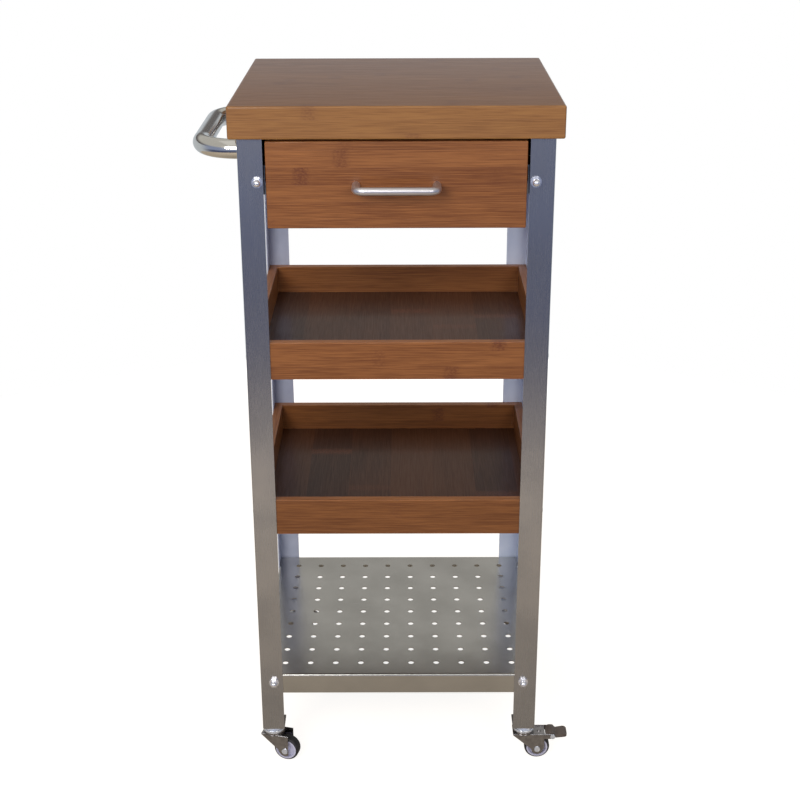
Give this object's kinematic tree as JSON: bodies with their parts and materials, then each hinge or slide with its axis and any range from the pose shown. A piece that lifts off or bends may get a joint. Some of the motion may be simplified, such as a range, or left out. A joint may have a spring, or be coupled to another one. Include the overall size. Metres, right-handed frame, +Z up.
{
  "type": "kitchen island cart",
  "caption": "Rolling kitchen cart with bamboo worktop, drawer, open trays, perforated steel shelf, side push handle and swivel casters.",
  "frame": {"origin": "on the floor, under the centre of the cart's overall box (push handle to brake pedal, pull to rear edge of the worktop)", "axes": "+Z up; +X to the right of a person facing the drawer, away from the push handle; the drawer opens towards -Y"},
  "size_m": [0.4876, 0.3862, 0.914],
  "materials": {
    "bamboo_top": "clear satin lacquer",
    "bamboo_board": "clear satin lacquer",
    "bamboo_floor": "clear satin lacquer, darker stock",
    "bamboo_drawer_box": "satin lacquer",
    "leg_steel": "brushed",
    "rail_steel": "brushed",
    "shelf_steel": "brushed",
    "handle_steel": "polished",
    "pull_steel": "satin",
    "nut_plating": "bright nickel plate",
    "slide_zinc": "zinc plate",
    "caster_zinc": "zinc plate",
    "fastener_zinc": "zinc plate",
    "hub_plastic": "moulded",
    "tyre_rubber": "matte",
    "pedal_plastic": "moulded"
  },
  "bodies": {
    "frame": {"top_board": "bamboo_top", "leg_front_left": "leg_steel", "leg_front_right": "leg_steel", "leg_rear_left": "leg_steel", "leg_rear_right": "leg_steel", "foot_plates": "rail_steel", "side_rail_left": "rail_steel", "side_rail_right": "rail_steel", "rear_rail": "rail_steel", "slide_track_left": "slide_zinc", "slide_track_right": "slide_zinc", "upper_tray_front": "bamboo_board", "upper_tray_back": "bamboo_board", "upper_tray_left": "bamboo_board", "upper_tray_right": "bamboo_board", "upper_tray_floor": "bamboo_floor", "lower_tray_front": "bamboo_board", "lower_tray_back": "bamboo_board", "lower_tray_left": "bamboo_board", "lower_tray_right": "bamboo_board", "lower_tray_floor": "bamboo_floor", "bottom_shelf": "shelf_steel", "push_handle": "handle_steel", "handle_plugs": "fastener_zinc", "frame_bolts": "fastener_zinc", "cap_nuts": "nut_plating", "top_screws": "fastener_zinc", "tray_screws": "fastener_zinc", "caster_stems": "caster_zinc", "stem_nuts": "fastener_zinc"},
    "drawer": {"drawer_front": "bamboo_board", "drawer_left": "bamboo_drawer_box", "drawer_right": "bamboo_drawer_box", "drawer_back": "bamboo_drawer_box", "drawer_floor": "bamboo_drawer_box", "drawer_pull": "pull_steel", "pull_screws": "fastener_zinc", "drawer_runner_left": "slide_zinc", "drawer_runner_right": "slide_zinc", "runner_screws": "fastener_zinc"},
    "caster_front_left": {"caster_fork_front_left": "caster_zinc", "caster_axle_front_left": "caster_zinc"},
    "wheel_front_left": {"caster_hub_front_left": "hub_plastic", "caster_tyre_front_left": "tyre_rubber"},
    "caster_front_right": {"caster_fork_front_right": "caster_zinc", "caster_axle_front_right": "caster_zinc", "brake_leaf_front_right": "caster_zinc"},
    "wheel_front_right": {"caster_hub_front_right": "hub_plastic", "caster_tyre_front_right": "tyre_rubber"},
    "pedal_front_right": {"brake_pedal_front_right": "pedal_plastic"},
    "caster_rear_left": {"caster_fork_rear_left": "caster_zinc", "caster_axle_rear_left": "caster_zinc", "brake_leaf_rear_left": "caster_zinc"},
    "wheel_rear_left": {"caster_hub_rear_left": "hub_plastic", "caster_tyre_rear_left": "tyre_rubber"},
    "pedal_rear_left": {"brake_pedal_rear_left": "pedal_plastic"},
    "caster_rear_right": {"caster_fork_rear_right": "caster_zinc", "caster_axle_rear_right": "caster_zinc"},
    "wheel_rear_right": {"caster_hub_rear_right": "hub_plastic", "caster_tyre_rear_right": "tyre_rubber"}
  },
  "joints": [
    {"name": "drawer_slide", "type": "slide", "parent": "frame", "child": "drawer", "axis": [0, -1, 0], "range_m": [0, 0.22]},
    {"name": "caster_swivel_front_left", "type": "hinge", "parent": "frame", "child": "caster_front_left", "pos_m": [-0.16425, -0.14375, 0.044], "axis": [0, 0, 1], "continuous": true},
    {"name": "wheel_spin_front_left", "type": "hinge", "parent": "caster_front_left", "child": "wheel_front_left", "pos_m": [-0.1459, -0.14867, 0.0175], "axis": [0.2588, 0.9659, 0], "continuous": true},
    {"name": "caster_swivel_front_right", "type": "hinge", "parent": "frame", "child": "caster_front_right", "pos_m": [0.18375, -0.14375, 0.044], "axis": [0, 0, 1], "continuous": true},
    {"name": "wheel_spin_front_right", "type": "hinge", "parent": "caster_front_right", "child": "wheel_front_right", "pos_m": [0.20275, -0.14375, 0.0175], "axis": [0, 1, 0], "continuous": true},
    {"name": "brake_press_front_right", "type": "hinge", "parent": "caster_front_right", "child": "pedal_front_right", "pos_m": [0.22375, -0.14375, 0.0379], "axis": [0, 1, 0], "range_deg": [0, 12]},
    {"name": "caster_swivel_rear_left", "type": "hinge", "parent": "frame", "child": "caster_rear_left", "pos_m": [-0.16425, 0.16925, 0.044], "axis": [0, 0, 1], "continuous": true},
    {"name": "wheel_spin_rear_left", "type": "hinge", "parent": "caster_rear_left", "child": "wheel_rear_left", "pos_m": [-0.14525, 0.16925, 0.0175], "axis": [0, 1, 0], "continuous": true},
    {"name": "brake_press_rear_left", "type": "hinge", "parent": "caster_rear_left", "child": "pedal_rear_left", "pos_m": [-0.12425, 0.16925, 0.0379], "axis": [0, 1, 0], "range_deg": [0, 12]},
    {"name": "caster_swivel_rear_right", "type": "hinge", "parent": "frame", "child": "caster_rear_right", "pos_m": [0.18375, 0.16925, 0.044], "axis": [0, 0, 1], "continuous": true},
    {"name": "wheel_spin_rear_right", "type": "hinge", "parent": "caster_rear_right", "child": "wheel_rear_right", "pos_m": [0.20275, 0.16925, 0.0175], "axis": [0, 1, 0], "continuous": true}
  ]
}
